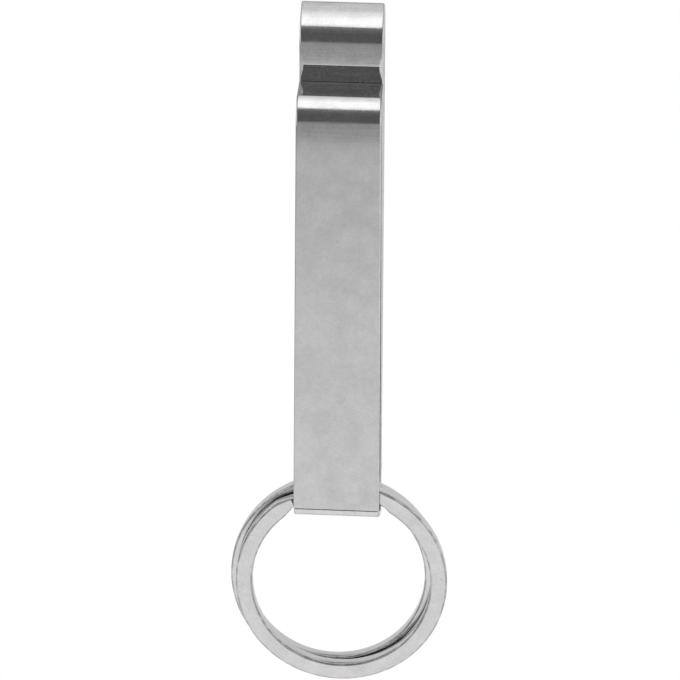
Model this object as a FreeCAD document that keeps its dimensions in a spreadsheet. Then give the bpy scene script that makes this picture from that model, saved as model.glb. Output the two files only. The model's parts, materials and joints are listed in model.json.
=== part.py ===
import FreeCAD, Part
import math
import os

import Sketcher
from FreeCAD import Placement, Rotation, Vector

# Belt key clip: one bent strip of spring steel that slips over a belt, with a split ring in its fold.
#
# The strip runs from a curled lip down the front panel, round a square fold that carries the ring,
# up the inner leg, forward a little in a bulge, over a hook and down the back leg. It flexes where the
# panel leaves the fold and where the back leg leaves the hook, so it is made as three pieces that
# meet face to face there.
#
# Strip frame: X across the strip, Y from the panel's front face to the back, Z up from the fold's
# underside. The finished part is moved so that its origin is the top of the hook's inside, where
# the upper edge of a belt comes to rest. Millimetres and degrees.

SIZES = [
    ("strip_width", 12.7),
    ("strip_thickness", 0.8),
    ("clip_height", 77.4),
    ("fold_inside_radius", 0.2),
    ("roll_outside_radius", 6.5),
    ("roll_angle", 32),
    ("lip_outside_radius", 4.6),
    ("lip_angle", 61.5),
    ("lip_clearance", 0.15),
    ("lip_below_bulge", 0.1),
    ("bulge_inside_radius", 1.0),
    ("bulge_angle", 13),
    ("underside_length", 2.39),
    ("hook_edge_radius", 1.0),
    ("hook_face_radius", 56),
    ("hook_face_lean", 1),
    ("hook_face_turn", 2.5),
    ("hook_front_radius", 8.9),
    ("hook_front_angle", 46),
    ("hook_ramp_length", 1.77),
    ("hook_back_radius", 2.0),
    ("leg_bend_radius", 30),
    ("leg_clearance", 0.15),
    ("leg_tip_height", 6.8),
    ("tip_bend_radius", 6),
    ("tip_flare_angle", 14),
    ("tip_flare_length", 2.4),
    ("ring_outside_diameter", 31.75),
    ("wire_width", 2.5),
    ("wire_thickness", 2.2),
    ("wire_edge_radius", 0.35),
    ("coil_gap", 0.5),
    ("crossover_start", 124),
    ("crossover_angle", 24),
    ("ring_tilt", 19),
    ("pivot_inset", 1.75),
    ("ring_play", 0.3),
    ("floor_play", 0.1),
]

# What follows from the sizes. The ring turns about a line across the fold, so the fold is as wide
# and the line as high as the part of the ring between the strip's two edges needs to turn there.
DERIVED = [
    ("half_thickness", "sizes.strip_thickness / 2"),
    ("ring_inside_radius", "sizes.ring_outside_diameter / 2 - sizes.wire_width"),
    ("ring_depth", "2 * sizes.wire_thickness + sizes.coil_gap"),
    ("bore_at_strip_edge", "sqrt(derived.ring_inside_radius ^ 2 - (sizes.strip_width / 2) ^ 2)"),
    ("pivot_radius", "sizes.ring_outside_diameter / 2 - sizes.pivot_inset"),
    ("swing_height", "max(sizes.pivot_inset; derived.pivot_radius - derived.bore_at_strip_edge)"),
    ("swing_radius", "sqrt(derived.swing_height ^ 2 + (derived.ring_depth / 2) ^ 2)"),
    ("ring_space", "2 * (derived.swing_radius + sizes.ring_play)"),
    ("pivot_depth", "sizes.strip_thickness + derived.ring_space / 2"),
    ("pivot_height", "sizes.strip_thickness + derived.swing_radius + sizes.floor_play"),
    ("fold_bend", "sizes.fold_inside_radius + derived.half_thickness"),
    ("fold_top", "sizes.fold_inside_radius + sizes.strip_thickness"),
    ("inner_leg_depth", "sizes.strip_thickness + derived.ring_space + derived.half_thickness"),
    ("roll_bend", "sizes.roll_outside_radius - derived.half_thickness"),
    ("lip_bend", "sizes.lip_outside_radius - derived.half_thickness"),
    ("lip_turn", "sizes.lip_angle - sizes.roll_angle"),
    ("lip_corner_depth", "sizes.strip_thickness + derived.ring_space - sizes.lip_clearance"),
    ("lip_end_depth", "derived.lip_corner_depth - derived.half_thickness * cos(sizes.lip_angle)"),
    ("bulge_bend", "sizes.bulge_inside_radius + derived.half_thickness"),
    ("edge_bend", "sizes.hook_edge_radius - derived.half_thickness"),
    ("face_bend", "sizes.hook_face_radius - derived.half_thickness"),
    ("hook_front_bend", "sizes.hook_front_radius - derived.half_thickness"),
    ("hook_back_bend", "sizes.hook_back_radius - derived.half_thickness"),
    ("edge_turn", "sizes.bulge_angle + sizes.hook_face_lean"),
    ("face_top_lean", "sizes.hook_face_lean + sizes.hook_face_turn"),
    ("hook_front_turn", "sizes.hook_front_angle - derived.face_top_lean"),
    ("bulge_reach", "(derived.bulge_bend + derived.edge_bend) * (1 - cos(sizes.bulge_angle))"
                    " + sizes.underside_length * sin(sizes.bulge_angle)"),
    ("bulge_rise", "(derived.bulge_bend + derived.edge_bend) * sin(sizes.bulge_angle)"
                   " + sizes.underside_length * cos(sizes.bulge_angle)"),
    ("edge_reach", "derived.edge_bend * (1 - cos(sizes.hook_face_lean))"),
    ("edge_rise", "derived.edge_bend * sin(sizes.hook_face_lean)"),
    ("face_reach", "derived.face_bend * (cos(sizes.hook_face_lean) - cos(derived.face_top_lean))"),
    ("face_rise", "derived.face_bend * (sin(derived.face_top_lean) - sin(sizes.hook_face_lean))"),
    ("front_reach", "derived.hook_front_bend"
                    " * (cos(derived.face_top_lean) - cos(sizes.hook_front_angle))"),
    ("front_rise", "derived.hook_front_bend"
                   " * (sin(sizes.hook_front_angle) - sin(derived.face_top_lean))"),
    ("ramp_reach", "sizes.hook_ramp_length * sin(sizes.hook_front_angle)"),
    ("ramp_rise", "sizes.hook_ramp_length * cos(sizes.hook_front_angle)"),
    ("back_reach", "derived.hook_back_bend * cos(sizes.hook_front_angle)"),
    ("back_drop", "derived.hook_back_bend * sin(sizes.hook_front_angle)"),
    ("seat_depth", "derived.inner_leg_depth - derived.bulge_reach + derived.edge_reach"
                   " + derived.face_reach + derived.front_reach + derived.ramp_reach"
                   " + derived.back_reach"),
    ("seat_height", "sizes.clip_height - sizes.strip_thickness"),
    ("hook_end_depth", "derived.seat_depth + derived.hook_back_bend"),
    ("hook_end_height", "sizes.clip_height - derived.half_thickness - derived.hook_back_bend"),
    ("hook_rise", "derived.edge_rise + derived.face_rise + derived.front_rise + derived.ramp_rise"
                  " - derived.back_drop"),
    ("bulge_start", "derived.hook_end_height - derived.hook_rise - derived.bulge_rise"),
    ("lip_end_height", "derived.bulge_start - sizes.lip_below_bulge"
                       " + derived.half_thickness * sin(sizes.lip_angle)"),
    ("tip_centre_depth", "derived.inner_leg_depth + sizes.strip_thickness + sizes.leg_clearance"
                         " + sizes.tip_bend_radius"),
    ("tip_heading", "sizes.tip_flare_angle - 90"),
]

UP = 90
DOWN = -90
QUARTER_TURN = 90

doc = FreeCAD.newDocument("belt_key_clip")
sizes = doc.addObject("Spreadsheet::Sheet", "sizes")
derived = doc.addObject("Spreadsheet::Sheet", "derived")


def fill_sheets():
    """Write the driving sizes as plain numbers, and under them what follows from those sizes."""
    for row, (alias, value) in enumerate(SIZES, start=1):
        sizes.set(f"A{row}", alias)
        sizes.set(f"B{row}", str(value))
        sizes.setAlias(f"B{row}", alias)
    for row, (alias, formula) in enumerate(DERIVED, start=1):
        derived.set(f"A{row}", alias)
        derived.setAlias(f"B{row}", alias)
        derived.set(f"B{row}", f"={formula}")
    doc.recompute()


def cell(alias):
    """Full name of a cell, for an expression."""
    sheet = "sizes" if alias in dict(SIZES) else "derived"
    return f"{sheet}.{alias}"


def value(alias):
    """Number in a cell."""
    sheet = sizes if alias in dict(SIZES) else derived
    return float(getattr(sheet, alias))


def new_sketch(body, name, role):
    """Sketch on one of the body's own origin planes."""
    sketch = body.newObject("Sketcher::SketchObject", name)
    plane = next(item for item in body.Origin.OriginFeatures if item.Role == role)
    sketch.AttachmentSupport = [(plane, "")]
    sketch.MapMode = "FlatFace"
    return sketch


def bind(sketch, alias, kind, *references):
    """Add a dimension to a sketch and tie it to a cell."""
    number = value(alias)
    unit = ""
    if kind == "Angle":
        number = math.radians(number)
        unit = " * 1 deg"
    index = sketch.addConstraint(Sketcher.Constraint(kind, *references, number))
    sketch.setExpression(f"Constraints[{index}]", cell(alias) + unit)


def bind_point(sketch, point, depth, height):
    """Tie a point of a sketch to its depth and height in the strip frame."""
    origin = (-1, 1)
    bind(sketch, depth, "DistanceX", *origin, *point)
    bind(sketch, height, "DistanceY", *origin, *point)


def add_chain(sketch, start, heading, steps):
    """Draw straight runs and bends that follow each other without a corner.

    A run is a length, and a bend is a radius and a turn, positive to the left. Returns each
    piece's start and end point, as the sketch's constraints name them.
    """
    here = Vector(*start, 0)
    ends = []
    for step in steps:
        ahead = Vector(math.cos(math.radians(heading)), math.sin(math.radians(heading)), 0)
        if isinstance(step, tuple):
            radius, turn = step
            side = math.copysign(1, turn)
            centre = here + Vector(-ahead.y, ahead.x, 0) * radius * side
            first = math.radians(heading - QUARTER_TURN * side)
            last = math.radians(heading + turn - QUARTER_TURN * side)
            circle = Part.Circle(centre, Vector(0, 0, 1), radius)
            geometry = Part.ArcOfCircle(circle, min(first, last), max(first, last))
            there = centre + Vector(math.cos(last), math.sin(last), 0) * radius
            heading += turn
            points = (1, 2) if turn > 0 else (2, 1)
        else:
            there = here + ahead * step
            geometry = Part.LineSegment(here, there)
            points = (1, 2)
        index = sketch.addGeometry(geometry)
        ends.append(((index, points[0]), (index, points[1])))
        here = there
    for before, after in zip(ends, ends[1:]):
        sketch.addConstraint(Sketcher.Constraint("Tangent", *before[1], *after[0]))
    return ends


def level_with_centre(sketch, point):
    """Keep a bend's end upright: its centre is level with that end."""
    centre = (point[0], 3)
    sketch.addConstraint(Sketcher.Constraint("Horizontal", *point, *centre))


def strip_body(label, start_depth, start_height, draw_spine):
    """One piece of the strip: its flat section carried along a spine in the side view."""
    body = doc.addObject("PartDesign::Body", label)
    body.Label = label
    spine = new_sketch(body, label + "_spine", "YZ_Plane")
    draw_spine(spine)
    section = new_sketch(body, label + "_section", "XY_Plane")
    section.AttachmentOffset = Placement(
        Vector(0, value(start_depth), value(start_height)), Rotation())
    section.setExpression("AttachmentOffset.Base.y", cell(start_depth))
    section.setExpression("AttachmentOffset.Base.z", cell(start_height))
    draw_section(section)
    strip = body.newObject("PartDesign::AdditivePipe", label + "_strip")
    strip.Profile = section
    strip.Spine = (spine, [])
    body.setExpression("Placement.Base.y", "-" + cell("seat_depth"))
    body.setExpression("Placement.Base.z", "-" + cell("seat_height"))
    return body


def draw_section(sketch):
    """Rectangle of the strip's width and thickness about the sketch's origin."""
    half_width = value("strip_width") / 2
    half_thickness = value("half_thickness")
    corners = [Vector(-half_width, -half_thickness, 0), Vector(half_width, -half_thickness, 0),
               Vector(half_width, half_thickness, 0), Vector(-half_width, half_thickness, 0)]
    for corner, following in zip(corners, corners[1:] + corners[:1]):
        sketch.addGeometry(Part.LineSegment(corner, following))
    for side in range(4):
        sketch.addConstraint(Sketcher.Constraint("Coincident", side, 2, (side + 1) % 4, 1))
        sketch.addConstraint(Sketcher.Constraint("Vertical" if side % 2 else "Horizontal", side))
    sketch.addConstraint(Sketcher.Constraint("Symmetric", 0, 1, 1, 2, -1, 1))
    bind(sketch, "strip_width", "Distance", 0)
    bind(sketch, "strip_thickness", "Distance", 1)


def draw_gate_spine(sketch):
    """Front panel straight up from the fold, then the roll and the lip that closes on the inner leg."""
    start = (value("half_thickness"), value("fold_top"))
    roll_angle = value("roll_angle")
    lip_angle = value("lip_angle")
    roll = math.radians(roll_angle)
    slope = math.radians(lip_angle)
    roll_bend = value("roll_bend")
    lip_bend = value("lip_bend")
    bends_reach = roll_bend * (1 - math.cos(roll)) + lip_bend * (math.cos(roll) - math.cos(slope))
    bends_rise = roll_bend * math.sin(roll) + lip_bend * (math.sin(slope) - math.sin(roll))
    lip = (value("lip_end_depth") - start[0] - bends_reach) / math.sin(slope)
    panel = value("lip_end_height") - start[1] - bends_rise - lip * math.cos(slope)
    steps = [panel, (roll_bend, -roll_angle), (lip_bend, roll_angle - lip_angle), lip]
    ends = add_chain(sketch, start, UP, steps)
    sketch.addConstraint(Sketcher.Constraint("Vertical", 0))
    bind_point(sketch, ends[0][0], "half_thickness", "fold_top")
    bind(sketch, "roll_bend", "Radius", 1)
    bind(sketch, "roll_angle", "Angle", 1)
    bind(sketch, "lip_bend", "Radius", 2)
    bind(sketch, "lip_turn", "Angle", 2)
    bind_point(sketch, ends[-1][1], "lip_end_depth", "lip_end_height")


def draw_clip_spine(sketch):
    """Square fold, inner leg, the bulge where it comes forward above the lip, and the hook."""
    bend = value("fold_bend")
    start = (value("half_thickness"), value("fold_top"))
    floor = value("inner_leg_depth") - start[0] - 2 * bend
    inner_leg = value("bulge_start") - start[1]
    steps = [(bend, QUARTER_TURN), floor, (bend, QUARTER_TURN), inner_leg,
             (value("bulge_bend"), value("bulge_angle")), value("underside_length"),
             (value("edge_bend"), -value("edge_turn")), (value("face_bend"), -value("hook_face_turn")),
             (value("hook_front_bend"), -value("hook_front_turn")), value("hook_ramp_length"),
             (value("hook_back_bend"), value("hook_front_angle") - 2 * QUARTER_TURN)]
    ends = add_chain(sketch, start, DOWN, steps)
    bind_point(sketch, ends[0][0], "half_thickness", "fold_top")
    level_with_centre(sketch, ends[0][0])
    bind(sketch, "fold_bend", "Radius", 0)
    sketch.addConstraint(Sketcher.Constraint("Horizontal", 1))
    sketch.addConstraint(Sketcher.Constraint("Equal", 0, 2))
    sketch.addConstraint(Sketcher.Constraint("Vertical", 3))
    bind(sketch, "inner_leg_depth", "DistanceX", -1, 1, *ends[3][0])
    bind(sketch, "underside_length", "Distance", 5)
    bind(sketch, "hook_ramp_length", "Distance", 9)
    for bend_index, radius, angle in ((4, "bulge_bend", "bulge_angle"), (6, "edge_bend", "edge_turn"),
                                      (7, "face_bend", "hook_face_turn"),
                                      (8, "hook_front_bend", "hook_front_turn")):
        bind(sketch, radius, "Radius", bend_index)
        bind(sketch, angle, "Angle", bend_index)
    bind(sketch, "hook_back_bend", "Radius", 10)
    level_with_centre(sketch, ends[10][1])
    bind(sketch, "hook_end_height", "DistanceY", -1, 1, *ends[10][1])


def draw_leg_spine(sketch):
    """Back leg that leans in to the inner leg, then flares at its tip to let a belt in."""
    start = (value("hook_end_depth"), value("hook_end_height"))
    tip_bend = value("tip_bend_radius")
    flare = value("tip_flare_angle")
    flare_drop = tip_bend * math.sin(math.radians(flare)) + value("tip_flare_length")
    drop = start[1] - value("leg_tip_height") - flare_drop
    lean = math.degrees(math.atan2(start[0] - value("tip_centre_depth") + tip_bend, drop))
    bend = value("leg_bend_radius")
    ends = add_chain(sketch, start, DOWN, [(bend, -lean), drop, (tip_bend, lean + flare),
                                           value("tip_flare_length")])
    bind_point(sketch, ends[0][0], "hook_end_depth", "hook_end_height")
    level_with_centre(sketch, ends[0][0])
    bind(sketch, "leg_bend_radius", "Radius", 0)
    bind(sketch, "tip_bend_radius", "Radius", 2)
    bind(sketch, "tip_centre_depth", "DistanceX", -1, 1, 2, 3)
    bind(sketch, "tip_heading", "Angle", 3)
    bind(sketch, "tip_flare_length", "Distance", 3)
    bind(sketch, "leg_tip_height", "DistanceY", -1, 1, *ends[3][1])


def ring_point(angle, depth):
    """Point on the wire's centre line, seen from the front: angle from the right, going up."""
    radius = value("ring_outside_diameter") / 2 - value("wire_width") / 2
    turn = math.radians(angle)
    return Vector(radius * math.cos(turn), depth, radius * math.sin(turn))


def ring_heading(angle):
    """Direction of the wire at an angle: clockwise, seen from the front."""
    turn = math.radians(angle)
    return Vector(math.sin(turn), 0, -math.cos(turn))


def arc_from_tangent(start, corner, end):
    """Arc from start to end whose end tangents meet at corner, equally far from both."""
    chord_middle = (start + end) / 2
    to_corner = corner - chord_middle
    half_chord = (end - start).Length / 2
    radius = half_chord * (corner - start).Length / to_corner.Length
    bulge = radius - math.sqrt(radius ** 2 - half_chord ** 2)
    return Part.Arc(start, chord_middle + to_corner.normalize() * bulge, end), radius


def crossover_arcs(start_angle, end_angle, front, rear):
    """Two arcs that leave the front coil and join the rear coil without a corner."""
    start = ring_point(start_angle, front)
    end = ring_point(end_angle, rear)
    leaving = ring_heading(start_angle)
    joining = ring_heading(end_angle)
    span = end - start
    both = span.dot(leaving + joining)
    spread = 2 * (1 - leaving.dot(joining))
    reach = (math.sqrt(both ** 2 + spread * span.dot(span)) - both) / spread
    first_corner = start + leaving * reach
    second_corner = end - joining * reach
    middle = (first_corner + second_corner) / 2
    first, first_radius = arc_from_tangent(start, first_corner, middle)
    second, second_radius = arc_from_tangent(middle, second_corner, end)
    print(f"crossover bends: {first_radius:.2f} and {second_radius:.2f} mm")
    return [first, second]


def coil_arcs(start_angle, sweep, depth):
    """Flat coil as arcs of under a quarter turn, clockwise from the front."""
    count = math.ceil(sweep / QUARTER_TURN)
    step = sweep / count
    arcs = []
    for number in range(count):
        angle = start_angle - number * step
        points = [ring_point(angle - part * step, depth) for part in (0, 0.5, 1)]
        arcs.append(Part.Arc(*points))
    return arcs


def wire_section(angle, depth):
    """Flat wire's section with rounded edges, square to the wire at an angle of the front coil."""
    outward = ring_point(angle, 0).normalize()
    back = Vector(0, 1, 0)
    centre = ring_point(angle, depth)
    edge = value("wire_edge_radius")
    across = value("wire_width") / 2
    along = value("wire_thickness") / 2
    diagonal = edge * (1 - math.sqrt(0.5))

    def at(out, rear):
        return centre + outward * out + back * rear

    edges = []
    for out, rear in ((1, 1), (-1, 1), (-1, -1), (1, -1)):
        side = at(out * across, rear * (along - edge))
        middle = at(out * (across - diagonal), rear * (along - diagonal))
        face = at(out * (across - edge), rear * along)
        corner = [side, middle, face] if out * rear > 0 else [face, middle, side]
        edges.append(Part.Arc(*corner).toShape())
    for corner in range(4):
        start = edges[corner].Vertexes[-1].Point
        end = edges[(corner + 1) % 4].Vertexes[0].Point
        edges.append(Part.LineSegment(start, end).toShape())
    return Part.Wire(Part.__sortEdges__(edges))


def print_least_gap(arcs):
    """Least gap of the wire to itself, on points of its centre line over half a turn apart."""
    spacing = 0.5
    points = [point for arc in arcs for point in arc.toShape().discretize(Distance=spacing)]
    thickness = value("wire_thickness")
    apart = int(math.pi * value("ring_outside_diameter") / 2 / spacing)
    least = math.inf
    for index, point in enumerate(points):
        for other in points[index + apart:]:
            between = other - point
            along = max(abs(between.y) - thickness, 0)
            least = min(least, math.hypot(along, between.x, between.z))
    print(f"least gap of the ring's wire to itself: {least:.3f} mm")


def make_split_ring():
    """Flat wire wound twice: front coil, crossover and rear coil, hung on the fold's floor."""
    pitch = value("wire_thickness") + value("coil_gap")
    front = -pitch / 2
    rear = pitch / 2
    cross_start = value("crossover_start")
    cross_end = cross_start - value("crossover_angle")
    sweep = 4 * QUARTER_TURN - value("crossover_angle")
    arcs = coil_arcs(cross_start + sweep, sweep, front)
    arcs += crossover_arcs(cross_start, cross_end, front, rear)
    arcs += coil_arcs(cross_end, sweep, rear)
    print_least_gap(arcs)

    shell = Part.BRepOffsetAPI.MakePipeShell(Part.Wire([arc.toShape() for arc in arcs]))
    shell.setBiNormalMode(Vector(0, 1, 0))
    shell.add(wire_section(cross_start + sweep, front))
    shell.build()
    shell.makeSolid()
    ring = doc.addObject("Part::Feature", "split_ring")
    ring.Label = "split_ring"
    ring.Shape = shell.shape()
    in_clip = Placement(Vector(0, value("pivot_depth") - value("seat_depth"),
                               value("pivot_height") - value("seat_height")),
                        Rotation(Vector(1, 0, 0), value("ring_tilt")))
    ring.Placement = in_clip * Placement(Vector(0, 0, -value("pivot_radius")), Rotation())

    length = sum(arc.toShape().Length for arc in arcs)
    corners = (4 - math.pi) * value("wire_edge_radius") ** 2
    section = value("wire_width") * value("wire_thickness") - corners
    print(f"ring wire {length:.1f} mm long, volume {ring.Shape.Volume:.1f}, section times length "
          f"{section * length:.1f} mm3")
    return ring


def check(pieces):
    """Stop if any object failed or any piece isn't one valid solid."""
    for item in doc.Objects:
        if "Invalid" in item.State or "Error" in item.State:
            raise RuntimeError(f"{item.Name} failed: {item.State}")
    for piece in pieces:
        if piece.Shape.isNull() or not piece.Shape.isValid() or len(piece.Shape.Solids) != 1:
            raise RuntimeError(f"{piece.Label} isn't one valid solid")


fill_sheets()
clip_body = strip_body("clip_body", "half_thickness", "fold_top", draw_clip_spine)
front_gate = strip_body("front_gate", "half_thickness", "fold_top", draw_gate_spine)
belt_leg = strip_body("belt_leg", "hook_end_depth", "hook_end_height", draw_leg_spine)
doc.recompute()
split_ring = make_split_ring()
doc.recompute()

pieces = [clip_body, front_gate, belt_leg, split_ring]
check(pieces)
os.makedirs("parts", exist_ok=True)
for piece in pieces:
    piece.Shape.exportStep(f"parts/{piece.Label}.step")
    box = piece.Shape.BoundBox
    print(f"{piece.Label}: {piece.Shape.Volume:.1f} mm3, Y {box.YMin:.2f} to {box.YMax:.2f}, "
          f"Z {box.ZMin:.2f} to {box.ZMax:.2f}")
pivot = Vector(0, value("pivot_depth") - value("seat_depth"), value("pivot_height") - value("seat_height"))
print(f"ring pivot {pivot}, ring space {value('ring_space'):.3f}, seat depth {value('seat_depth'):.3f}")
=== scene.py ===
# %% [markdown]
# # Belt key clip
# A strip of nickel-plated spring steel is bent into a clip that slips over a belt. A square fold at its
# lower end carries a split key ring. The engineering model of the clip is loaded first and stays where
# it is: the surfaces made below start from its measured corners, so nothing has to be fitted by eye.

# %% Load the engineering model
import json
import math

import bpy
import numpy as np
from mathutils import Matrix, Vector


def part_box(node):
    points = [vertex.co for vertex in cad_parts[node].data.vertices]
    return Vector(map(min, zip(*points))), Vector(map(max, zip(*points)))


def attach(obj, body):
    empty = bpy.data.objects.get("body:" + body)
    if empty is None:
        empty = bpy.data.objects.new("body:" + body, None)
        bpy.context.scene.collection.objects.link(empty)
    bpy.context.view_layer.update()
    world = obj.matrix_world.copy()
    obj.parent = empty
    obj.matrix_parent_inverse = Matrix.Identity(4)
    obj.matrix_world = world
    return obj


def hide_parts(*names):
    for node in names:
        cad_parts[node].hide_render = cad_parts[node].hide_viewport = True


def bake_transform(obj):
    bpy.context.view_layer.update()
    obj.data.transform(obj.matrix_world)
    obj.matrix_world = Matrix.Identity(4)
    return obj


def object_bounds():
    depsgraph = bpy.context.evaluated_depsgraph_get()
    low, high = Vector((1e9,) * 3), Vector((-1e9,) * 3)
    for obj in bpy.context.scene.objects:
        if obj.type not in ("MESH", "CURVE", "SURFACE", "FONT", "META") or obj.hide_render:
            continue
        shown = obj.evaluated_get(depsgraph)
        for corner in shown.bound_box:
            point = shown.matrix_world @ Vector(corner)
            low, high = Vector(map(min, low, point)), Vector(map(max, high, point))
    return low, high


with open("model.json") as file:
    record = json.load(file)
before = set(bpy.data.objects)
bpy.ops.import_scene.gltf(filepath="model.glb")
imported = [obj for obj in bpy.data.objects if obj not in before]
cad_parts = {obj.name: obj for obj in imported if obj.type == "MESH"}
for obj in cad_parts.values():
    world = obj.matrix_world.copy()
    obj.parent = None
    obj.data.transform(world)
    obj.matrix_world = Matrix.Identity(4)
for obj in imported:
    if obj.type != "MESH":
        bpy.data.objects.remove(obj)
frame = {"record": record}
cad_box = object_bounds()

MM = 0.001

# %% [markdown]
# ## Sizes of the strip
# A maker would measure the bent clip with a calliper. Here the corners of the loaded pieces give the
# strip's width and thickness and the places of its faces, so the scene can't drift from the model. The
# zero point is the top of the hook's inside, so the hook's top lies one thickness above it. Bend radii
# and angles, which no box can show, are written down as numbers where they are first needed.

# %% Measure the strip
clip_low, clip_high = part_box("clip_body")
gate_low, gate_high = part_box("front_gate")
leg_low, leg_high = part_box("belt_leg")

strip_width = clip_high.x - clip_low.x
strip_thickness = clip_high.z
half_thickness = strip_thickness / 2
lip_clearance = 0.15 * MM

panel_y = clip_low.y + half_thickness
inner_leg_y = gate_high.y + lip_clearance + half_thickness
floor_z = clip_low.z + half_thickness
crest_z = clip_high.z - half_thickness
fold_depth = inner_leg_y - panel_y
print(f"strip {strip_width / MM:.1f} x {strip_thickness / MM:.1f} mm, fold {fold_depth / MM:.2f} mm deep")

# %% [markdown]
# ## A line bent like the strip
# In the side view the strip is a chain of straight runs and round bends that never make a corner. A
# Bezier curve could be drawn by eye, but its bends wouldn't be the true circles that a press makes. So
# each step is worked out as one array: along a bend the heading grows evenly, and the points lie on a
# circle whose centre is square to the starting heading. Bends get a point every degree and a half,
# because a polished surface shows the smallest facet.

# %% Trace runs and bends
RUN_SPACING = 0.8 * MM
BEND_SPACING = math.radians(1.5)
QUARTER = math.pi / 2


def trace(start, heading, steps):
    """Points (y, z) and headings along runs (a length) and bends (a radius and a turn to the left).

    A run adds its length times (cos h, sin h). A bend from heading h to heading g adds its radius, which
    counts as negative in a turn to the right, times (sin g - sin h, cos h - cos g).
    """
    here = np.array(start, float)
    points = [here[None, :]]
    headings = [np.array([heading])]
    for step in steps:
        if isinstance(step, tuple):
            radius, turn = step
            count = math.ceil(abs(turn) / BEND_SPACING)
            angle = heading + turn * np.arange(1, count + 1) / count
            side = radius * math.copysign(1, turn)
            reach = np.stack([np.sin(angle) - math.sin(heading), math.cos(heading) - np.cos(angle)], -1)
            new_points = here + side * reach
            heading = heading + turn
        else:
            count = math.ceil(step / RUN_SPACING)
            along = step * np.arange(1, count + 1) / count
            new_points = here + along[:, None] * np.array([math.cos(heading), math.sin(heading)])
            angle = np.full(count, heading)
        points.append(new_points)
        headings.append(angle)
        here = new_points[-1]
    return np.concatenate(points), np.concatenate(headings)


quarter_points, _ = trace((0.0, 0.0), 0.0, [(MM, QUARTER)])
print(f"a quarter bend has {len(quarter_points)} points")

# %% [markdown]
# ## Bends that follow each other
# The rolled lip and the hook are runs of bends of different radius, all turning the same way. One fitted
# curve could stand for each, but then no radius could be set alone. So each bend is given as a gauge
# would find it: the radius of its outside and the lean from upright at which it ends. Along a bend of
# radius r from lean a to lean b the strip moves back by r (cos a - cos b) and up by r (sin b - sin a), so
# the lengths of the straight runs between the bends follow.

# %% Add up the bends of the lip
ROLL_BENDS = [(54.4, 3.2), (10.4, 10.3), (7.5, 28), (6.2, 47), (0.9, 64.3)]


def bend_run(bends, lean):
    """Trace steps of bends (outside radius in mm, lean at its end in degrees), with their reach and rise."""
    steps = []
    reach = rise = 0.0
    for outside_radius, end_lean in bends:
        radius = outside_radius * MM - half_thickness
        end = math.radians(end_lean)
        steps.append((radius, lean - end))
        reach += radius * (math.cos(lean) - math.cos(end))
        rise += radius * (math.sin(end) - math.sin(lean))
        lean = end
    return steps, reach, rise


roll_steps, roll_reach, roll_rise = bend_run(ROLL_BENDS, 0.0)
print(f"the lip's roll goes {roll_reach / MM:.2f} mm back and {roll_rise / MM:.2f} mm up")

# %% [markdown]
# ## The strip's section
# Strip stock is slit from a wide coil and tumbled, so its edges are slightly rounded. A Bevel modifier
# could round the edges of a plain strip, but here the rounding changes along the strip and carries a mark
# for wear. So the section is rounded from the start: each point is a point of a core rectangle plus the
# edge's radius times an outward direction. On the flats the points stand closer together near the edges,
# where sharp bends change the strip's width.

# %% Draw the section
CORNER_POINTS = 7
edge_radius = 0.29 * MM


def rounded_section(width, height, radius, flat_points=9):
    """Core points and outward directions of a rounded rectangle, as (across, through) pairs.

    A corner's directions are (cos a, sin a) over a quarter turn. On a flat, a point that would be at the
    share t of the way from the middle to the edge goes to 1 - (1 - t) cubed.
    """
    core, outward = [], []
    half_core = np.array([width / 2 - radius, height / 2 - radius])
    corners = np.array([[1, -1], [1, 1], [-1, 1], [-1, -1]])
    for number, corner in enumerate(corners):
        angle = QUARTER * (number - 1) + np.linspace(0, QUARTER, CORNER_POINTS)
        core.append(np.tile(corner * half_core, (CORNER_POINTS, 1)))
        outward.append(np.stack([np.cos(angle), np.sin(angle)], -1))
        if number % 2:
            side = corner[1]
            even = np.linspace(-1, 1, flat_points + 2)[1:-1]
            spread = np.sign(even) * (1 - (1 - np.abs(even)) ** 3)
            across = -side * spread * half_core[0]
            core.append(np.stack([across, np.full(flat_points, side * half_core[1])], -1))
            outward.append(np.tile([0, side], (flat_points, 1)))
    return np.concatenate(core), np.concatenate(outward)


def edge_mark(outward):
    """1 in the middle of a rounded edge and 0 on the flats: twice |cos a sin a| of the outward direction."""
    return 2 * np.abs(outward[:, 0] * outward[:, 1])


strip_core, strip_outward = rounded_section(strip_width, strip_thickness, edge_radius)
print(f"the strip's section has {len(strip_core)} points")

# %% [markdown]
# ## Ends and sharp bends
# A free end is deburred, so the section near it is drawn in along a quarter circle. A sharp bend draws the
# strip in on its outside, as any bent strip shows: the section there is narrower on that side. Both could
# be sculpted on the finished mesh. As changes of the section along its length they stay smooth, and they
# follow when a bend is moved.

# %% Draw the section in
end_radius = 0.03 * MM
DEEPEST_SHARE = 0.97


def smooth_step(part):
    """Rises from 0 to 1 with level ends: 3 p squared less 2 p cubed."""
    part = np.clip(part, 0, 1)
    return part * part * (3 - 2 * part)


def end_shrink(length, radius, rounded_start, rounded_end):
    """How far the section is drawn in at each length, by a quarter circle at each rounded end.

    At the share d of the radius past the circle's start it is r (1 - the root of 1 - d squared).
    """
    drawn_in = np.zeros_like(length)
    for is_round, distance in ((rounded_start, length), (rounded_end, length[-1] - length)):
        if is_round:
            depth = np.clip(1 - distance / radius, 0, DEEPEST_SHARE)
            drawn_in = np.maximum(drawn_in, radius * (1 - np.sqrt(1 - depth ** 2)))
    return drawn_in


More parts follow.
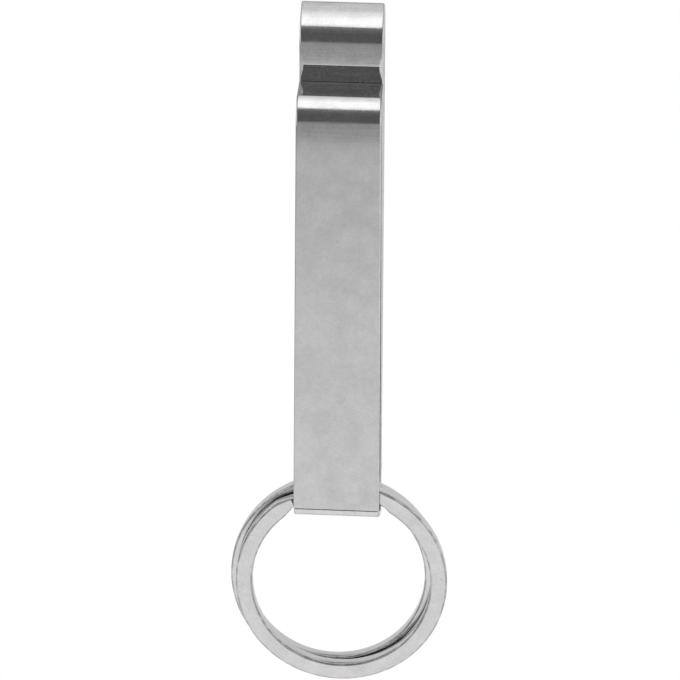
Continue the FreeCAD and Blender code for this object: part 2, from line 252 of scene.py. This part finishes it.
def neck_in(section, lengths, necks):
    """Draw the section in near sharp bends: necks are (place, reach before, reach after, depth, side).

    The half width falls by the depth times a smooth step, in full on the bend's outside and evenly less
    towards the middle of the thickness.
    """
    for place, before, after, depth, side in necks:
        away = np.where(lengths < place, (place - lengths) / before, (lengths - place) / after)
        amount = depth * smooth_step(1 - away)
        outside = np.clip(side * section[..., 1] / half_thickness, 0, 1)
        section[..., 0] *= 1 - amount[:, None] * outside / (strip_width / 2)
    return section


print(f"free ends are rounded by {end_radius / MM:.2f} mm, edges by up to {edge_radius / MM:.2f} mm")

# %% [markdown]
# ## A mesh from sections
# Blender can carry a bevel profile along a curve, but that gives little say over each section. Here the
# sections are rings of points, joined in turn into a grid of four-sided faces with a flat cap at each end.
# The mesh also gets a map in metres for the patterns that follow the metal, and marks on its points
# for its rounded edges and for painted shade.

# %% Faces and map of a grid


def grid_faces(rows, columns):
    """Faces (i, j), (i, j + 1), (i + 1, j + 1), (i + 1, j) of a grid of points with closed rows."""
    index = np.arange(rows * columns).reshape(rows, columns)
    following = np.roll(index, -1, axis=1)
    return np.stack([index[:-1], following[:-1], following[1:], index[1:]], -1).reshape(-1, 4).tolist()


def carried_map(rings, lengths):
    """Map of the grid's face corners in metres: the middle ring's girth across, the length along."""
    middle = rings[len(rings) // 2]
    girth = np.cumsum(np.linalg.norm(np.roll(middle, -1, axis=0) - middle, axis=1))
    girth = np.concatenate([[0], girth])
    across = np.stack([girth[:-1], girth[1:], girth[1:], girth[:-1]], -1)
    along = np.stack([lengths[:-1], lengths[:-1], lengths[1:], lengths[1:]], -1)
    corners = np.broadcast_arrays(across[None, :, :], along[:, None, :])
    return np.stack(corners, -1).reshape(-1, 2)


print(f"three rings of four points make {len(grid_faces(3, 4))} faces")

# %% Join rings of points
SHARP_ANGLE = math.radians(50)


def closed_tube(name, rings, lengths, edge, painted_shade):
    """Closed mesh of rings of points joined in turn, with flat caps, a map, an edge mark and a painted-shade
    mark.
    """
    ring_count, around, _ = rings.shape
    point_count = ring_count * around
    caps = [list(range(around))[::-1], list(range(point_count - around, point_count))]
    mesh = bpy.data.meshes.new(name)
    mesh.from_pydata(rings.reshape(-1, 3).tolist(), [], grid_faces(ring_count, around) + caps)
    mesh.shade_smooth()
    mesh.set_sharp_from_angle(angle=SHARP_ANGLE)

    side_map = carried_map(rings, lengths)
    whole_map = np.zeros((len(mesh.loops), 2))
    whole_map[:len(side_map)] = side_map
    mesh.uv_layers.new(name="along").data.foreach_set("uv", whole_map.ravel())
    for mark, values in (("edge", edge), ("painted_shade", painted_shade)):
        spread = np.broadcast_to(values, (ring_count, around))
        mesh.attributes.new(mark, "FLOAT", "POINT").data.foreach_set("value", spread.ravel())
    piece = bpy.data.objects.new(name, mesh)
    bpy.context.collection.objects.link(piece)
    print(f"{name}: {len(mesh.polygons)} faces, {lengths[-1] / MM:.1f} mm long")
    return piece


# %% [markdown]
# ## A length of bent strip
# The hook and the lip are rubbed by belts and fingers, so their edges are rounder than those of the fold:
# the section goes evenly from a squarer one to a rounder one. A press never holds the strip quite square,
# so every bend line falls a little to the right. Painted shade darkens the lip's end and the edges near it,
# where the lip lies in the hook's shadow.
# All of this could be added by hand to each length. Here one function does it, so the lengths agree.

# %% Finish a free end
END_RINGS = 5


def add_end_points(points, headings):
    """Extra points close to the last one, at r (1 - cos a) from it, for the rounding of the end."""
    near = end_radius * (1 - np.cos(np.linspace(0, QUARTER, END_RINGS + 1)))[1:]
    ahead = np.array([math.cos(headings[-1]), math.sin(headings[-1])])
    inner = points[-1] - near[::-1, None] * ahead
    points = np.concatenate([points[:-1], inner, points[-1:]])
    headings = np.concatenate([headings, np.full(len(near), headings[-1])])
    return points, headings


def end_painted_shade(lengths, outward, reach):
    """Painted shade on the end and on the edges near it: full for two thirds of the reach, then fading to 0.
    """
    to_end = (lengths[-1] - lengths)[:, None]
    near_end = smooth_step(3 * (1 - to_end / reach))
    return np.maximum(to_end < end_radius, np.sqrt(edge_mark(outward))) * near_end


print(f"a free end gets {END_RINGS} more sections")

# %% Bend a length of strip
bend_skew = 0.028


def strip_piece(name, start, heading, steps, first_edge=1.0, necks=(), rounded_end=False, shaded_end_reach=None):
    """Strip stock bent along a traced line: across is X, and through is square to the line.

    The edges' rounding grows evenly from the share first_edge to the whole of it. The bend lines' fall
    lowers each point by bend_skew times its X.
    """
    points, headings = trace(start, heading, steps)
    if rounded_end:
        points, headings = add_end_points(points, headings)
    lengths = np.concatenate([[0], np.cumsum(np.linalg.norm(np.diff(points, axis=0), axis=1))])
    square, _ = rounded_section(strip_width, strip_thickness, 0.0)
    rounding = strip_core + edge_radius * strip_outward - square
    share = first_edge + (1 - first_edge) * lengths / lengths[-1]
    section = square + share[:, None, None] * rounding
    section -= end_shrink(lengths, end_radius, False, rounded_end)[:, None, None] * strip_outward
    section = neck_in(section, lengths, necks)

    normal = np.stack([-np.sin(headings), np.cos(headings)], -1)
    rings = np.empty(section.shape[:2] + (3,))
    rings[..., 0] = section[..., 0]
    rings[..., 1:] = points[:, None, :] + section[..., 1:] * normal[:, None, :]
    rings[..., 2] -= bend_skew * rings[..., 0]
    # Painted shade on the lip's end and on its edges near it, where the lip lies in the hook's shadow.
    painted_shade = end_painted_shade(lengths, strip_outward, shaded_end_reach) if shaded_end_reach else 0.0
    print(f"{name} ends at y {points[-1, 0] / MM:.3f}, z {points[-1, 1] / MM:.3f} mm")
    return closed_tube(name, rings, lengths, edge_mark(strip_outward), painted_shade)


# %% [markdown]
# ## Front panel
# The clip is one strip, but it flexes at two bends when it is used. It could be one mesh with weights
# painted for each bend. It is made in three lengths instead, which meet where nobody can see it, in the
# middle of the fold's floor and on the crest of the hook, so that each can stand for its own part of the
# engineering model. The first is half of the floor, the fold's front bend, the panel and its rolled lip.
# Where the lip has to end is known, so the lengths of the panel and of the lip's last run follow.

# %% Make the front panel
FORWARD = math.pi
fold_bend = 0.2 * MM + half_thickness
fold_edge = 0.35
lip_settle = 0.36 * MM
# How far the painted shade reaches back from the lip's end.
shaded_lip_reach = 8 * MM
floor_middle = (panel_y + inner_leg_y) / 2
half_floor = fold_depth / 2 - fold_bend
fold_neck = (half_floor + fold_bend * QUARTER / 2, 1.2 * MM, 1.2 * MM, 0.22 * MM)

lip_angle = math.radians(ROLL_BENDS[-1][1])
lip_end_y = gate_high.y - half_thickness * math.cos(lip_angle)
lip_end_z = gate_high.z - lip_settle - half_thickness * math.sin(lip_angle)
lip_length = (lip_end_y - panel_y - roll_reach) / math.sin(lip_angle)
panel_length = lip_end_z - lip_length * math.cos(lip_angle) - roll_rise - floor_z - fold_bend
panel_steps = [half_floor, (fold_bend, -QUARTER), panel_length] + roll_steps + [lip_length]
front_panel = strip_piece("front_panel", (floor_middle, floor_z), FORWARD, panel_steps,
                          first_edge=fold_edge, necks=[fold_neck + (1,)], rounded_end=True,
                          shaded_end_reach=shaded_lip_reach)

# %% [markdown]
# ## Inner leg and hook
# The second length is the other half of the floor, the inner leg behind the panel and the front of the
# hook. Above the lip the strip bends forward, turns sharply back and rolls over to the crest. The sharp
# turn is the hook's lower edge. The crest's place is known, so adding up the reach and the rise of all the
# bends leaves only the straight run before the crest and the inner leg to be worked out.

# %% Make the inner leg and hook
BACK = 0.0
HOOK_BENDS = [(1.0, 0.2), (58, 2.5), (8.9, 42.5), (11, 52)]
bulge_bend = 1.0 * MM + half_thickness
bulge_angle = math.radians(11)
underside_length = 2.70 * MM
hook_back_bend = clip_high.y - half_thickness

ramp_angle = math.radians(HOOK_BENDS[-1][1])
hook_steps, hook_reach, hook_rise = bend_run(HOOK_BENDS, -bulge_angle)
hook_reach += (hook_back_bend * math.cos(ramp_angle) - bulge_bend * (1 - math.cos(bulge_angle))
               - underside_length * math.sin(bulge_angle))
hook_ramp = (-inner_leg_y - hook_reach) / math.sin(ramp_angle)
hook_rise += (bulge_bend * math.sin(bulge_angle) + underside_length * math.cos(bulge_angle)
              + hook_ramp * math.cos(ramp_angle) - hook_back_bend * math.sin(ramp_angle))
inner_leg_length = crest_z - hook_back_bend - hook_rise - floor_z - fold_bend
print(f"hook's straight run {hook_ramp / MM:.2f} mm, inner leg {inner_leg_length / MM:.2f} mm")

hook_edge = half_floor + fold_bend * QUARTER + inner_leg_length + bulge_bend * bulge_angle + underside_length
hook_neck = (hook_edge, 2.2 * MM, 1.6 * MM, 0.5 * MM, 1)
leg_steps = [half_floor, (fold_bend, QUARTER), inner_leg_length, (bulge_bend, bulge_angle), underside_length]
crest_steps = [hook_ramp, (hook_back_bend, ramp_angle - QUARTER)]
leg_and_hook = strip_piece("leg_and_hook", (floor_middle, floor_z), BACK,
                           leg_steps + hook_steps + crest_steps, first_edge=fold_edge,
                           necks=[fold_neck + (-1,), hook_neck])

# %% [markdown]
# ## Back leg
# The third length goes from the crest round the hook's back and down the leg, which leans in towards the
# inner leg and flares out at its tip, so that a belt slips in. The leg's lean sets how far its two bends
# reach, and their reach sets the lean. That could be solved on paper, but a few rounds of working out one
# from the other settle it just as well.

# %% Make the back leg
LEAN_ROUNDS = 8
leg_bend = 30 * MM
tip_bend = 6 * MM
flare_angle = math.radians(14)
flare_length = 2.4 * MM

leg_top_z = crest_z - hook_back_bend
leg_drop = leg_top_z - leg_low.z
tip_inside_y = inner_leg_y + strip_thickness + lip_clearance
flare_drop = half_thickness * math.sin(flare_angle) + flare_length * math.cos(flare_angle)
lean = math.atan2(hook_back_bend - tip_inside_y, leg_drop - flare_drop)
for _ in range(LEAN_ROUNDS):
    lean_reach = (tip_bend + leg_bend) * (1 - math.cos(lean))
    bend_drop = leg_bend * math.sin(lean) + tip_bend * (math.sin(lean) + math.sin(flare_angle))
    fall = leg_drop - flare_drop - bend_drop
    lean = math.atan2(hook_back_bend - tip_inside_y - lean_reach, fall)
print(f"back leg leans {math.degrees(lean):.2f} degrees")

back_steps = [(hook_back_bend, -QUARTER), (leg_bend, -lean), fall / math.cos(lean),
              (tip_bend, lean + flare_angle), flare_length]
back_leg = strip_piece("back_leg", (0.0, crest_z), BACK, back_steps, rounded_end=True)

# %% [markdown]
# ## The split ring
# A split ring is flat wire wound about twice round. The front coil starts at a narrowed tip by the
# strip's left edge, goes round, crosses over behind the strip and goes on as the rear coil. Both coils are
# sprung a little sideways from each other. Two rings with a bridge could look like it, but the real wire
# is unbroken, so the whole wire is one function of its angle: depth and sideways shift follow a smooth
# step inside the crossover. The ring lies on the floor of the fold, so it hangs a little lower than the
# line that it turns about, and its inside is rubbed thinner there, which gives it room to swing. Painted
# shade darkens the gap between the coils, on the back of the front one.

# %% Sizes of the ring
joints = frame["record"]["behaviour"]["joints"]
ring_pivot = next(np.array(joint["pos_m"]) for joint in joints if joint["name"] == "ring_swing")
ring_radius = 31.75 / 2 * MM
pivot_radius = ring_radius - 1.75 * MM
ring_tilt = math.radians(19)
ring_sag = 0.5 * MM

wire_width = 2.5 * MM
wire_thickness = 2.2 * MM
wire_edge = 0.35 * MM
coil_gap = 0.5 * MM
coil_shift = 0.9 * MM

front_tip = math.radians(117)
crossover_start = math.radians(360 + 68)
crossover_turn = math.radians(36)
rear_tip = math.radians(720 + 74)
tip_length = 3.4 * MM
tip_narrowing = 0.45
rubbed_depth = 0.38 * MM
rubbed_from = 0.83
rubbed_over = 0.06
print("ring turns about", ring_pivot / MM, "mm")

# %% Wind the ring
RING_POINTS = 480


def wire_sections(angle, lengths, core, outward):
    """Section at each angle: rounded at both ends, narrowed at the front tip, rubbed where sin a is large."""
    reach = wire_edge - end_shrink(lengths, wire_edge, True, True)
    section = core + reach[:, None, None] * outward
    narrowed = tip_narrowing * smooth_step(1 - (lengths[-1] - lengths) / tip_length)
    section[..., 0] *= 1 - narrowed[:, None]
    rubbed = rubbed_depth * smooth_step((np.sin(angle) - rubbed_from) / rubbed_over)
    inside = np.clip(-2 * section[..., 0] / wire_width, 0, 1)
    section[..., 0] += rubbed[:, None] * inside
    return section


def wind_ring(name):
    """Wire at angle a lies at radius times (cos a, sin a); depth and shift step across the crossover."""
    angle = np.linspace(rear_tip, front_tip, RING_POINTS)
    step = smooth_step((angle - crossover_start) / crossover_turn)
    depth = (step - 0.5) * (wire_thickness + coil_gap)
    shift = (0.5 - step) * coil_shift
    lengths = (angle[0] - angle) * (ring_radius - wire_width / 2)
    core, outward = rounded_section(wire_width, wire_thickness, wire_edge, flat_points=3)
    section = wire_sections(angle, lengths, core, outward)
    out = ring_radius - wire_width / 2 + section[..., 0]
    upright = np.stack([out * np.cos(angle)[:, None] + shift[:, None], section[..., 1] + depth[:, None],
                        out * np.sin(angle)[:, None] - pivot_radius], -1)
    turn = np.array(Matrix.Rotation(ring_tilt, 3, "X"))
    rings = upright @ turn.T + ring_pivot - [0, 0, ring_sag]
    # Painted shade in the gap between the coils, on the rear side of the front coil.
    painted_shade = (step < 0.5)[:, None] * np.clip(outward[:, 1], 0, 1)
    return closed_tube(name, rings, lengths, edge_mark(outward), painted_shade)


key_ring = wind_ring("key_ring")

# %% [markdown]
# ## Node helpers
# A finish in Blender is a net of nodes. It could be wired by hand in the editor. Written as code it needs
# many like lines, so each kind of node gets a small function that makes it, links what it reads and gives
# back what it puts out.

# %% Make and link nodes


def link(tree, source, target):
    """Join two sockets."""
    tree.links.new(source, target)


def noise(tree, vector, scale, detail=2.0):
    """Noise pattern at a scale, read from a vector."""
    node = tree.nodes.new("ShaderNodeTexNoise")
    node.inputs["Scale"].default_value = scale
    node.inputs["Detail"].default_value = detail
    link(tree, vector, node.inputs["Vector"])
    return node.outputs["Fac"]


def remap(tree, value, low, high, out_low, out_high):
    """Straight-line change of range, clamped."""
    node = tree.nodes.new("ShaderNodeMapRange")
    for name, number in (("From Min", low), ("From Max", high), ("To Min", out_low), ("To Max", out_high)):
        node.inputs[name].default_value = number
    link(tree, value, node.inputs["Value"])
    return node.outputs["Result"]


def combine(tree, operation, first, second):
    """Arithmetic on two values."""
    node = tree.nodes.new("ShaderNodeMath")
    node.operation = operation
    link(tree, first, node.inputs[0])
    link(tree, second, node.inputs[1])
    return node.outputs["Value"]


# %% Relief, marks, maps and heights


def relief(tree, height, depth, below=None):
    """Bump of a height pattern that goes from 0 to a depth, on top of the bump below it."""
    node = tree.nodes.new("ShaderNodeBump")
    node.inputs["Distance"].default_value = depth
    link(tree, height, node.inputs["Height"])
    if below is not None:
        link(tree, below, node.inputs["Normal"])
    return node.outputs["Normal"]


def point_mark(tree, name):
    """Value of a mark that the mesh carries on its points."""
    node = tree.nodes.new("ShaderNodeAttribute")
    node.attribute_name = name
    return node.outputs["Fac"]


def stretched(tree, vector, scale, turn=0):
    """Coordinates scaled by different amounts along two directions, after a turn in degrees."""
    node = tree.nodes.new("ShaderNodeMapping")
    node.vector_type = "TEXTURE"
    node.inputs["Scale"].default_value = [1 / number for number in scale]
    node.inputs["Rotation"].default_value = (0, 0, math.radians(turn))
    link(tree, vector, node.inputs["Vector"])
    return node.outputs["Vector"]


def height_share(tree, place, start, end):
    """0 at one height and 1 at another, with a straight change between them."""
    split = tree.nodes.new("ShaderNodeSeparateXYZ")
    link(tree, place, split.inputs["Vector"])
    return remap(tree, split.outputs["Z"], start, end, 0, 1)


# %% [markdown]
# ## Lines of the press and of use
# Bending leaves fine lines across the strip on the hook and the lip. Keys and pockets leave thin slanted
# scuffs in patches lower down. Both could be drawn as a picture and wrapped round the strip. Here they are
# noise on the piece's own map, stretched so far that its blots become lines, and the height on the clip
# says where each kind shows.

# %% Press lines and scuffs
PRESS_FADE = (-23.5 * MM, -19.5 * MM)
PRESS_STRETCH = (70, 2400, 1)
SCUFF_FADE = (-14 * MM, -18 * MM)
SCUFF_STRETCH = (9000, 260, 1)
SCUFF_TURNS = (-50, 35)


def press_lines(tree, map_vector, place):
    """Fine lines across the strip, from -1 to 1, on the hook and the lip; 0 below them."""
    lines = remap(tree, noise(tree, stretched(tree, map_vector, PRESS_STRETCH), 1.0, 2), 0.3, 0.7, -1, 1)
    return combine(tree, "MULTIPLY", lines, height_share(tree, place, *PRESS_FADE))


def scuff_lines(tree, map_vector, place):
    """Thin slanted lines in two directions, in patches below the hook: 1 on a line, 0 elsewhere."""
    lines = []
    for turn in SCUFF_TURNS:
        streaks = noise(tree, stretched(tree, map_vector, SCUFF_STRETCH, turn), 1.0, 1)
        lines.append(remap(tree, streaks, 0.66, 0.70, 0, 1))
    patches = remap(tree, noise(tree, place, 140, 1), 0.5, 0.62, 0, 1)
    patches = combine(tree, "MULTIPLY", patches, height_share(tree, place, *SCUFF_FADE))
    return combine(tree, "MULTIPLY", combine(tree, "MAXIMUM", *lines), patches)


print(f"press lines above {PRESS_FADE[0] / MM:.1f} mm, scuffs below {SCUFF_FADE[0] / MM:.1f} mm")

# %% [markdown]
# ## Polished nickel
# Nickel plate on rolled steel is a clear grey mirror. The polishing wheel leaves faint clouds, a fine
# grain and a little waviness, handling leaves scratches along the strip and small dull specks, and the
# plate wears duller on the edges, which also get a painted shade. A plain metal shader could give the grey,
# but a mirror without these marks looks unreal. Clouds, grain, waves and specks are noise in the object's
# own space, lines and scratches follow the piece's map, and the edges' wear, the edges' painted shade and
# the painted shade on the lip and between the coils follow the marks on its points.

# %% Tone of the nickel


def nickel_tone(tree, place, pressed, edge_wear_and_shade, tone, edge_shade_tone, painted_shade_tone):
    """Product of clouds round the tone, mottle, specks, grain, press lines, painted shade on the edges and
    painted shade from the mark.
    """
    clouds = remap(tree, noise(tree, place, 420, 5), 0.32, 0.68, tone * 0.94, tone * 1.05)
    mottle = remap(tree, noise(tree, place, 1300, 4), 0.3, 0.7, 0.965, 1.035)
    specks = remap(tree, noise(tree, place, 2100, 1), 0.72, 0.78, 1.0, 0.88)
    grain = remap(tree, noise(tree, place, 3600, 2), 0.3, 0.7, 0.955, 1.045)
    streaks = remap(tree, pressed, -1, 1, 0.94, 1.06)
    # Painted shade on the rounded edges, in patches.
    edge_shade = remap(tree, edge_wear_and_shade, 0, 1, 1.0, edge_shade_tone)
    # Painted shade from the mark on the points: the lip under the hook and the gap between the coils.
    painted_shade_factor = remap(tree, point_mark(tree, "painted_shade"), 0, 1, 1.0, painted_shade_tone)
    colour = clouds
    for factor in (mottle, specks, grain, streaks, edge_shade, painted_shade_factor):
        colour = combine(tree, "MULTIPLY", colour, factor)
    return colour


# %% Dullness and relief of the nickel
WAVE_DEPTH = 0.010 * MM
SCRATCH_DEPTH = 0.0008 * MM
SCUFF_DEPTH = 0.0012 * MM
PRESS_DEPTH = 0.0007 * MM


def nickel_dullness(tree, place, edge_wear_and_shade, scuffs, roughness):
    """Sum of a haze round the roughness, small pits, worn edges and scuffs."""
    dullness = remap(tree, noise(tree, place, 190, 4), 0.35, 0.65, roughness * 0.8, roughness * 1.25)
    pits = remap(tree, noise(tree, place, 2600, 3), 0.42, 0.72, 0, 0.07)
    for part in (pits, remap(tree, edge_wear_and_shade, 0, 1, 0, 0.12), remap(tree, scuffs, 0, 1, 0, 0.12)):
        dullness = combine(tree, "ADD", dullness, part)
    return dullness


def nickel_relief(tree, place, scratches, scuffs, pressed):
    """Waves, with scratches, scuffs and press lines on top of each other."""
    surface = relief(tree, noise(tree, place, 150, 1), WAVE_DEPTH)
    for height, depth in ((scratches, SCRATCH_DEPTH), (scuffs, SCUFF_DEPTH), (pressed, PRESS_DEPTH)):
        surface = relief(tree, height, depth, surface)
    return surface


print(f"waves {WAVE_DEPTH / MM:.3f} mm deep, scratches {SCRATCH_DEPTH / MM:.4f} mm")

# %% Nickel finishes


def nickel(name, tone, roughness, scratch_scale, edge_shade_tone, painted_shade_tone):
    """Metal mirror whose tone, dullness and relief come from its place, its map and its marks."""
    material = bpy.data.materials.new(name)
    material.use_nodes = True
    tree = material.node_tree
    coordinates = tree.nodes.new("ShaderNodeTexCoord")
    place = coordinates.outputs["Object"]
    map_vector = coordinates.outputs["UV"]
    patches = remap(tree, noise(tree, place, 900, 3), 0.35, 0.6, 0.2, 1)
    edge_wear_and_shade = combine(tree, "MULTIPLY", point_mark(tree, "edge"), patches)
    pressed = press_lines(tree, map_vector, place)
    scuffs = scuff_lines(tree, map_vector, place)
    scratches = noise(tree, stretched(tree, map_vector, scratch_scale), 1.0, 3)

    shader = tree.nodes["Principled BSDF"]
    shader.inputs["Metallic"].default_value = 1.0
    colour = nickel_tone(tree, place, pressed, edge_wear_and_shade, tone, edge_shade_tone, painted_shade_tone)
    link(tree, colour, shader.inputs["Base Color"])
    link(tree, nickel_dullness(tree, place, edge_wear_and_shade, scuffs, roughness), shader.inputs["Roughness"])
    link(tree, nickel_relief(tree, place, scratches, scuffs, pressed), shader.inputs["Normal"])
    print(f"{name}: {len(tree.nodes)} nodes")
    return material


# The last two tones are painted shade: on the edges, and where the points carry the shade mark.
strip_nickel = nickel("strip_nickel", tone=0.66, roughness=0.09, scratch_scale=(3600, 180, 1),
                      edge_shade_tone=0.88, painted_shade_tone=0.14)
ring_nickel = nickel("ring_nickel", tone=0.65, roughness=0.12, scratch_scale=(3000, 160, 1),
                     edge_shade_tone=0.52, painted_shade_tone=0.55)
for piece in (front_panel, leg_and_hook, back_leg):
    piece.data.materials.append(strip_nickel)
key_ring.data.materials.append(ring_nickel)

# %% [markdown]
# ## Studio
# Polished metal shows the room more than itself. A photographer stands dark flags and white cloths round
# it, so that a bend shows a crisp dark line between bright faces. Many lamps and cards could do that. Here
# the room is one large dome that the camera doesn't see, which is easier to tune. Its tone is a function
# of elevation and azimuth: tables of tone against elevation for the front, the back, the right and the
# left, which fade into each other round the object.

# %% Tones of the studio
FRONT_TONES = [(-50, 0.95), (-35, 0.90), (-32, 0.10), (-12, 0.10), (-9, 0.89), (-3, 0.83), (0, 0.77),
               (3.4, 0.60), (5.1, 0.575), (6.2, 0.50), (7.4, 0.44), (9, 0.40), (22.8, 0.36), (23.8, 0.12),
               (40, 0.12), (46, 0.14), (52, 0.18), (55.8, 0.25), (57.3, 1.25), (62, 1.46), (76, 1.46),
               (90, 1.10)]
BACK_TONES = [(-50, 0.95), (-20, 0.85), (0, 0.78), (25, 0.76), (45, 0.76), (48, 0.20), (54.5, 0.20),
              (57, 0.74), (70, 0.76), (82, 0.84), (90, 1.10)]
UPPER_SIDE_TONES = [(17, 1.00), (32, 1.15), (37, 0.45), (60, 0.50), (68, 1.20), (90, 1.10)]
RIGHT_TONES = [(-50, 0.95), (-16, 0.88), (-6, 0.92), (3, 0.94), (7, 0.80), (13, 0.80)] + UPPER_SIDE_TONES
LEFT_TONES = [(-50, 0.95), (-16, 0.80), (-6, 0.66), (-2, 0.60), (3, 0.52), (7, 0.28),
              (13, 0.28)] + UPPER_SIDE_TONES
FRONT_EDGE, BACK_EDGE, EDGE_FADE = 44, 115, 20


def studio_tone(elevation, azimuth):
    """Tone at each elevation and azimuth in degrees: the tables' tones times the shares of the azimuth."""
    from_front = np.abs((azimuth + 180) % 360 - 180)
    front = smooth_step((FRONT_EDGE - from_front) / EDGE_FADE)
    back = smooth_step((from_front - BACK_EDGE) / EDGE_FADE)
    side = 1 - front - back
    right = azimuth < 180
    shares = ((FRONT_TONES, front), (BACK_TONES, back), (RIGHT_TONES, side * right),
              (LEFT_TONES, side * ~right))
    return sum(np.interp(elevation, *np.transpose(table))[:, None] * share for table, share in shares)


print("tone straight ahead and above:", studio_tone(np.array([0, 90]), np.array([0])).ravel())

# %% Pieces of the studio


def emission_material(name):
    """Material that glows evenly, with its node tree and its emission node."""
    material = bpy.data.materials.new(name)
    material.use_nodes = True
    tree = material.node_tree
    tree.nodes.clear()
    glow = tree.nodes.new("ShaderNodeEmission")
    output = tree.nodes.new("ShaderNodeOutputMaterial")
    link(tree, glow.outputs["Emission"], output.inputs["Surface"])
    return material, tree, glow


def stage_piece(name, points, faces, material):
    """Object of the studio, which isn't part of the clip."""
    mesh = bpy.data.meshes.new(name)
    mesh.from_pydata(points, [], faces)
    mesh.materials.append(material)
    piece = bpy.data.objects.new(name, mesh)
    bpy.context.collection.objects.link(piece)
    return piece


# %% Studio dome
studio_middle = np.array([0, -5, -40]) * MM
dome_radius = 4.0


def studio_dome():
    """Sphere grid with its tone at every point: radius times (cos e sin a, -cos e cos a, sin e)."""
    elevation = np.arange(-50, 90, 0.5)
    azimuth = np.arange(0, 360, 4)
    tone = studio_tone(elevation, azimuth)
    rise, around = np.radians(elevation)[:, None], np.radians(azimuth)[None, :]
    grid = np.stack([np.cos(rise) * np.sin(around), -np.cos(rise) * np.cos(around),
                     np.sin(rise) * np.ones_like(around)], -1) * dome_radius + studio_middle

    material, tree, glow = emission_material("studio_dome")
    material.cycles.emission_sampling = "NONE"
    link(tree, point_mark(tree, "tone"), glow.inputs["Strength"])
    dome = stage_piece("studio_dome", grid.reshape(-1, 3).tolist(), grid_faces(*tone.shape), material)
    dome.data.attributes.new("tone", "FLOAT", "POINT").data.foreach_set("value", tone.ravel())
    dome.visible_camera = False
    dome.visible_shadow = False
    print(f"dome: {len(dome.data.polygons)} faces, tones {tone.min():.2f} to {tone.max():.2f}")


studio_dome()

# %% [markdown]
# ## Table and background
# A round pale table stands well below the hanging ring, and the background is plain white. More light
# would make both white too, but it would bleach the metal. So they are white where they are seen, directly
# or in a mirror, and light the clip at a plain level.

# %% Table top
floor_radius = 700 * MM
floor_drop = 300 * MM
floor_tone = 0.85
floor_glow = 0.95


def seen_rays(tree):
    """1 for what the camera sees directly, in a mirror or through glass."""
    path = tree.nodes.new("ShaderNodeLightPath")
    total = path.outputs["Is Camera Ray"]
    for name in ("Is Glossy Ray", "Is Transmission Ray"):
        total = combine(tree, "MAXIMUM", total, path.outputs[name])
    return total


def pale_floor():
    """Round pale table top, which glows where it is seen and takes the object's shadow."""
    around = np.radians(np.arange(0, 360, 5))
    height = np.full_like(around, cad_box[0].z - floor_drop)
    points = np.stack([floor_radius * np.cos(around), floor_radius * np.sin(around), height], -1)
    material, tree, glow = emission_material("pale_floor")
    glow.inputs["Color"].default_value = (1, 1, 1, 1)
    diffuse = tree.nodes.new("ShaderNodeBsdfDiffuse")
    diffuse.inputs["Color"].default_value = (floor_tone, floor_tone, floor_tone, 1)
    mix = tree.nodes.new("ShaderNodeMixShader")
    link(tree, remap(tree, seen_rays(tree), 0, 1, 0, floor_glow), mix.inputs["Fac"])
    link(tree, diffuse.outputs["BSDF"], mix.inputs[1])
    link(tree, glow.outputs["Emission"], mix.inputs[2])
    link(tree, mix.outputs["Shader"], tree.nodes["Material Output"].inputs["Surface"])
    stage_piece("pale_floor", points.tolist(), [list(range(len(points)))], material)
    print(f"floor at z {height[0] / MM:.0f} mm")


pale_floor()

# %% Background
plain_light = 0.9


def white_world():
    """Plain white background that mirrors show too, at a plain level of light."""
    world = bpy.data.worlds.new("studio_white")
    world.use_nodes = True
    tree = world.node_tree
    background = tree.nodes["Background"]
    background.inputs["Color"].default_value = (1, 1, 1, 1)
    link(tree, remap(tree, seen_rays(tree), 0, 1, plain_light, 1.0), background.inputs["Strength"])
    bpy.context.scene.world = world
    print("background:", world.name)


white_world()
bpy.context.scene.view_settings.view_transform = "Standard"

# %% [markdown]
# ## Camera
# The picture is taken from half a metre away with a long lens, level with the middle of the frame and a
# little to the right, so that the strip's right edge just shows. A camera could be aimed by a constraint.
# Its three directions are written down instead, because it also leans by a third of a degree.

# %% Place the camera
camera_distance = 500 * MM
camera_azimuth = math.radians(2.9)
camera_roll = math.radians(0.315)
sensor_width = 36
picture_pixels = 680
pixels_per_metre = 6758
aim_across = 0.43 * MM
aim_height = 26.05 * MM

up = Vector((0, 0, 1))
right = Vector((math.cos(camera_azimuth), math.sin(camera_azimuth), 0))
back = Vector((math.sin(camera_azimuth), -math.cos(camera_azimuth), 0))
aim = Vector((0, clip_low.y, clip_low.z)) + right * aim_across + up * aim_height
turned_up = up * math.cos(camera_roll) - right * math.sin(camera_roll)
turned_right = right * math.cos(camera_roll) + up * math.sin(camera_roll)
facing = Matrix((turned_right, turned_up, back)).transposed().to_4x4()

camera_data = bpy.data.cameras.new("camera")
camera_data.sensor_width = sensor_width
camera_data.lens = sensor_width * camera_distance * pixels_per_metre / picture_pixels
camera_data.clip_start = 0.01
camera = bpy.data.objects.new("camera", camera_data)
bpy.context.collection.objects.link(camera)
camera.matrix_world = Matrix.Translation(aim + back * camera_distance) @ facing
bpy.context.scene.camera = camera
print(f"lens {camera_data.lens:.0f} mm, aimed at {[round(number / MM, 2) for number in aim]} mm")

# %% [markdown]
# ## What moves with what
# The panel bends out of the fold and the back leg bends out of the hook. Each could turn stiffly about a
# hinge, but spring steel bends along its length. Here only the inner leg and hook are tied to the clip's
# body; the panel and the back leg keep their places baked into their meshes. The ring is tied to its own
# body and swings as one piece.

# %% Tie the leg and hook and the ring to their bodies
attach(leg_and_hook, "clip_body")
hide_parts("clip_body")
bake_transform(front_panel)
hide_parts("front_gate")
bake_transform(back_leg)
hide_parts("belt_leg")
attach(key_ring, "split_ring")
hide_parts("split_ring")
